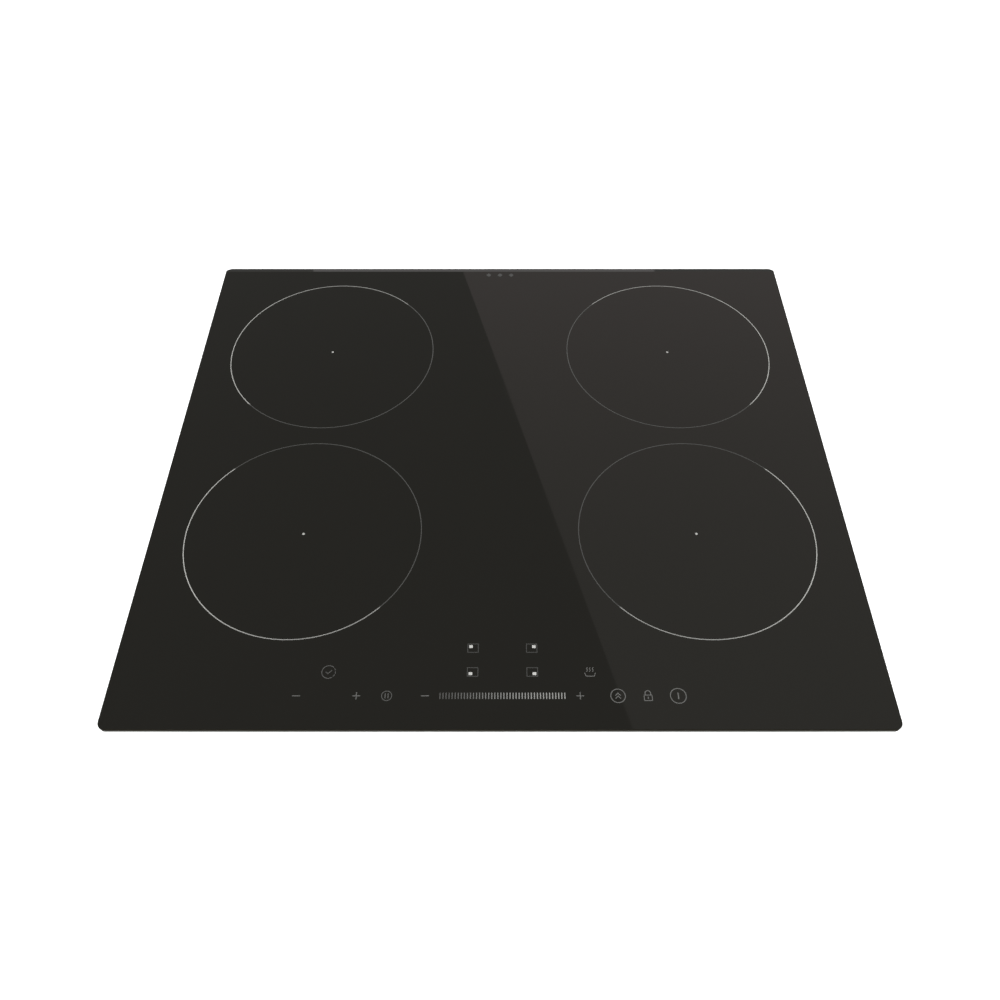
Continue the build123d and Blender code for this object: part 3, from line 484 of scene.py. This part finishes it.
class StudioLook(bpy.types.PropertyGroup):
    floor_colour: bpy.props.FloatVectorProperty(
        name="Floor Colour", description="Colour of the floor",
        subtype="COLOR", size=3, min=0.0, max=1.0, default=(0.86, 0.86, 0.86))
    backdrop: bpy.props.FloatProperty(
        name="Backdrop", description="Brightness of the backdrop behind the cooktop",
        min=0.0, default=1.0)
    room_light: bpy.props.FloatProperty(
        name="Room Light", description="Brightness of the room all round", min=0.0, default=0.294)
    key_power: bpy.props.FloatProperty(
        name="Light Power", description="Power of each soft light",
        unit="POWER", min=0.0, default=40.0)
    panel_light: bpy.props.FloatProperty(
        name="Panel Light", description="Brightness of the panels that the glass mirrors",
        min=0.0, default=0.578)
    camera_back: bpy.props.FloatProperty(
        name="Camera Back", description="How far the camera stands in front of the middle",
        unit="LENGTH", default=0.5041)
    camera_up: bpy.props.FloatProperty(
        name="Camera Up", description="Height of the camera over the glass",
        unit="LENGTH", default=0.6128)
    camera_tilt: bpy.props.FloatProperty(
        name="Camera Tilt", description="How far the camera looks down",
        subtype="ANGLE", default=math.radians(53.576))
    lens: bpy.props.FloatProperty(
        name="Lens", description="Focal length in millimetres", min=1.0, default=31.543)


# ---------------------------------------------------------------- operators
class COOKTOP_OT_glass(bpy.types.Operator):
    """Finishes the glass-ceramic plate, the foam strip under it and the silicone bead"""
    bl_idname = "cooktop.glass"
    bl_label = "Glass and Seals"

    def execute(self, context):
        dress("black_glass", black_glass_ceramic(context.scene.cooktop_glass))
        dress("foam", cellular_foam("sealing_foam", (0.03, 0.03, 0.031)))
        dress("silicone", soft_rubber("silicone_bead", (0.02, 0.02, 0.02)))
        return {"FINISHED"}


class COOKTOP_OT_print(bpy.types.Operator):
    """Finishes the zone circles and the key symbols"""
    bl_idname = "cooktop.print"
    bl_label = "Printed Marks"

    def execute(self, context):
        look = context.scene.cooktop_print
        dress("zone_print", zone_enamel(look))
        dress("symbol_print", symbol_enamel(look))
        return {"FINISHED"}


class COOKTOP_OT_case(bpy.types.Operator):
    """Finishes the case walls, the bottom cover, the screws and the spring strips"""
    bl_idname = "cooktop.case"
    bl_label = "Steel Case"

    def execute(self, context):
        look = context.scene.cooktop_case
        dress("frame_steel", zinc_sheet("wall_zinc", look.wall_colour, (1.0, 1.0, 12.0), look))
        dress("cover_steel", zinc_sheet("cover_zinc", look.cover_colour, (12.0, 1.0, 1.0), look))
        dress("zinc_screws", plated_screw())
        dress("spring_steel", spring_steel())
        return {"FINISHED"}


class COOKTOP_OT_mains(bpy.types.Operator):
    """Finishes the terminal box with its cover and block, the cable sleeve and the clamp"""
    bl_idname = "cooktop.mains"
    bl_label = "Mains Connection"

    def execute(self, context):
        dress("terminal_plastic", moulded_plastic("terminal_plastic", (0.022, 0.022, 0.023), 0.42))
        dress("block_plastic", moulded_plastic("block_plastic", (0.62, 0.60, 0.55), 0.4))
        dress("brass_screws", bright_metal("terminal_brass", (0.42, 0.28, 0.10), (0.74, 0.54, 0.26)))
        dress("gland_rubber", soft_rubber("sleeve_rubber", (0.014, 0.014, 0.015)))
        dress("clamp_plastic", moulded_plastic("clamp_plastic", (0.50, 0.50, 0.47)))
        return {"FINISHED"}


class COOKTOP_OT_zones(bpy.types.Operator):
    """Finishes the coils, their formers, ferrites and sensors, the trays and the mica sheets"""
    bl_idname = "cooktop.zones"
    bl_label = "Cooking Zones"

    def execute(self, context):
        dress("copper", litz_winding())
        dress("former_plastic", moulded_plastic("former_plastic", (0.16, 0.155, 0.15)))
        dress("ferrite", sintered_ferrite())
        dress("sensor_cap", soft_rubber("sensor_silicone", (0.34, 0.32, 0.28)))
        dress("mica", mica_laminate())
        dress("tray_aluminium", bright_metal("tray_aluminium", (0.60, 0.61, 0.62), (0.80, 0.81, 0.82),
                                             (1.0, 8.0, 1.0)))
        return {"FINISHED"}


class COOKTOP_OT_springs(bpy.types.Operator):
    """Builds the bowed strips under each coil"""
    bl_idname = "cooktop.springs"
    bl_label = "Coil Springs"

    def execute(self, context):
        finish = spring_steel()
        for joint in frame["joints"]:
            for bent in joint.get("deforming_nodes", []):
                node = bent["node"]
                strips = new_object(f"{node}_bowed", frame["nodes"][node].data.copy())
                give_finish(strips, finish)
                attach(strips, joint["parent"])
                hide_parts(node)
                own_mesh(strips)
        return {"FINISHED"}


class COOKTOP_OT_power(bpy.types.Operator):
    """Finishes the power boards, heat sinks, transistors, capacitors and fans"""
    bl_idname = "cooktop.power"
    bl_label = "Power Electronics"

    def execute(self, context):
        dress("circuit_board", circuit_laminate())
        dress("sink_aluminium", bright_metal("sink_aluminium", (0.52, 0.53, 0.54), (0.74, 0.75, 0.76),
                                             (8.0, 1.0, 1.0), 0.36))
        dress("chip_plastic", moulded_plastic("chip_epoxy", (0.02, 0.02, 0.02), 0.55))
        dress("capacitor_plastic", moulded_plastic("capacitor_case", (0.25, 0.27, 0.31), 0.25, 300.0))
        dress("fan_plastic", moulded_plastic("fan_plastic", (0.018, 0.018, 0.018), 0.4))
        return {"FINISHED"}


class COOKTOP_OT_control(bpy.types.Operator):
    """Finishes the touch control's carrier, foam pads and light boxes"""
    bl_idname = "cooktop.control"
    bl_label = "Touch Control"

    def execute(self, context):
        dress("control_plastic", moulded_plastic("control_plastic", (0.03, 0.03, 0.03)))
        dress("pad_foam", cellular_foam("pad_foam", (0.05, 0.05, 0.05)))
        dress("light_box", moulded_plastic("light_box_plastic", (0.68, 0.68, 0.68), 0.35))
        return {"FINISHED"}


def new_object(name, data):
    """An object in the scene, at the origin."""
    made = bpy.data.objects.new(name, data)
    bpy.context.scene.collection.objects.link(made)
    return made


def flat_mesh(name, corners):
    """One polygon with these corners."""
    mesh = bpy.data.meshes.new(name)
    mesh.from_pydata(corners, [], [range(len(corners))])
    return mesh


def studio_panel(name, corners, glow, strength):
    """A light panel that only the cooktop's gloss sees. Glow makes its colour from its finish."""
    panel = new_object(name, flat_mesh(name, corners))
    finish = Finish(name)
    light = finish.node("ShaderNodeEmission", values={"Color": glow(finish), "Strength": strength})
    panel.data.materials.append(finish.end(light))
    panel.visible_camera = False
    panel.visible_diffuse = False
    panel.visible_shadow = False


def soft_light(name, spot, power, lit):
    """A square area light that aims at the middle and keeps to a collection's light links."""
    light = bpy.data.lights.new(name, "AREA")
    light.shape = "SQUARE"
    light.size = LAMP_SIZE
    light.energy = power
    lamp = new_object(name, light)
    lamp.location = spot
    lamp.rotation_mode = "QUATERNION"
    lamp.rotation_quaternion = (-Vector(spot)).to_track_quat("-Z", "Y")
    lamp.light_linking.receiver_collection = lit


class COOKTOP_OT_studio(bpy.types.Operator):
    """Builds the pale floor, the soft lights, the mirrored panels and the camera"""
    bl_idname = "cooktop.studio"
    bl_label = "Studio"

    def execute(self, context):
        look = context.scene.cooktop_studio
        self.floor(look)
        self.room(context, look)
        self.mirrored_panels(look)
        self.camera(context, look)
        context.scene.view_settings.view_transform = "Standard"
        return {"FINISHED"}

    def floor(self, look):
        """A pale floor, lifted for the camera more and more with distance, so that it runs into
        the backdrop and keeps a soft shadow at the cooktop."""
        corners = [(x * FLOOR_REACH, y * FLOOR_REACH, -FLOOR_DROP) for x, y in
                   ((-1, -1), (1, -1), (1, 1), (-1, 1))]
        floor = new_object("studio_floor", flat_mesh("studio_floor", corners))
        finish = Finish("studio_floor")
        x, y, _ = finish.axes()
        base = finish.mix(finish.noise(1.5, 2.0), toned(look.floor_colour, 0.98), look.floor_colour)
        paint = finish.shader(Base_Color=base, Roughness=0.9)
        distance = finish.ease(x * x + y * y, GLOW_STARTS, GLOW_ENDS)
        glow = finish.mix(distance, 3 * [FLOOR_GLOW], 3 * [1.0])
        lift = finish.node("ShaderNodeEmission", values={"Color": glow})
        lifted = finish.node("ShaderNodeAddShader", values={0: paint, 1: lift})
        seen = finish.node("ShaderNodeLightPath", output="Is Camera Ray")
        floor.data.materials.append(finish.end(
            finish.node("ShaderNodeMixShader", values={0: seen, 1: paint, 2: lifted})))

    def room(self, context, look):
        """Dim walls for the gloss, a white backdrop for the camera, and four soft lights, which the
        glass doesn't mirror."""
        room = Finish("studio_room", "worlds")
        seen = room.node("ShaderNodeLightPath", output="Is Camera Ray")
        strength = room.node("ShaderNodeMapRange", values={
            "Value": seen, "To Min": look.room_light, "To Max": look.backdrop})
        walls = room.node("ShaderNodeBackground", values={
            "Color": (1.0, 1.0, 1.0, 1.0), "Strength": strength})
        context.scene.world = room.end(walls, "ShaderNodeOutputWorld")
        lit = bpy.data.collections.new("lit_by_lamps")
        lit.objects.link(frame["nodes"]["glass_plate"])
        lit.collection_objects[0].light_linking.link_state = "EXCLUDE"
        for name, spot in LAMPS.items():
            soft_light(name, spot, look.key_power, lit)

    def mirrored_panels(self, look):
        """A large panel overhead, whose edge shows in the glass as a slant, and a low one behind, which
        shows as a bright line in the bevel."""
        top = GLASS_HIGH.z
        eye = Vector((0.0, -look.camera_back, top - look.camera_up))
        edge = []
        for x, y in ((SLANT_REAR_X, GLASS_HIGH.y), (SLANT_FRONT_X, GLASS_LOW.y)):
            on_glass = Vector((x, y, top))
            edge.append(eye + (on_glass - eye) * (1.0 + OVERHEAD_RISE / look.camera_up))
        rear, front = edge
        past = (rear - front) * OVERHEAD_SPARE
        wide = Vector((OVERHEAD_WIDTH, 0.0, 0.0))

        def fading(finish):
            _, y, _ = finish.axes()
            return finish.mix(finish.ease(y, front.y, rear.y), (0.80, 0.79, 0.77), (1.0, 0.92, 0.92))

        def even(finish):
            return finish.mix(finish.noise(0.5), (0.97, 0.95, 0.96), (1.0, 0.97, 0.98))

        overhead = [front - past, rear + past, rear + past + wide, front - past + wide]
        studio_panel("overhead_panel", overhead, fading, look.panel_light)
        left, right = LOW_PANEL_X
        low, high = LOW_PANEL_Z
        behind = [(x, LOW_PANEL_Y, z) for x, z in ((left, low), (right, low), (right, high), (left, high))]
        studio_panel("low_panel", behind, even, LOW_PANEL_SHARE * look.panel_light)

    def camera(self, context, look):
        """A camera in front of the cooktop that looks down on it."""
        camera = bpy.data.cameras.new("studio_camera")
        camera.sensor_width = 36.0
        camera.lens = look.lens
        stand = new_object("studio_camera", camera)
        stand.location = (0.0, -look.camera_back, GLASS_HIGH.z + look.camera_up)
        stand.rotation_euler = (math.pi / 2 - look.camera_tilt, 0.0, 0.0)
        context.scene.camera = stand


class COOKTOP_PT_panel(bpy.types.Panel):
    """Lists the cooktop's steps"""
    bl_label = "Cooktop"
    bl_idname = "COOKTOP_PT_panel"
    bl_space_type = "VIEW_3D"
    bl_region_type = "UI"
    bl_category = "Cooktop"

    def draw(self, context):
        for step in STEPS:
            self.layout.operator(step.bl_idname)
        for name, group in LOOKS.items():
            box = self.layout.box()
            for key in group.__annotations__:
                box.prop(getattr(context.scene, name), key)


LOOKS = {"cooktop_glass": GlassLook, "cooktop_print": PrintLook, "cooktop_case": CaseLook,
         "cooktop_studio": StudioLook}
STEPS = (COOKTOP_OT_glass, COOKTOP_OT_print, COOKTOP_OT_case, COOKTOP_OT_mains, COOKTOP_OT_zones,
         COOKTOP_OT_springs, COOKTOP_OT_power, COOKTOP_OT_control, COOKTOP_OT_studio)


def register():
    for kind in (*LOOKS.values(), *STEPS, COOKTOP_PT_panel):
        bpy.utils.register_class(kind)
    for name, group in LOOKS.items():
        setattr(bpy.types.Scene, name, bpy.props.PointerProperty(type=group))


def unregister():
    for name in LOOKS:
        delattr(bpy.types.Scene, name)
    for kind in (COOKTOP_PT_panel, *STEPS[::-1], *LOOKS.values()):
        bpy.utils.unregister_class(kind)


def main():
    register()
    for step in STEPS:
        category, name = step.bl_idname.split(".")
        getattr(getattr(bpy.ops, category), name)()


if __name__ == "__main__":
    main()
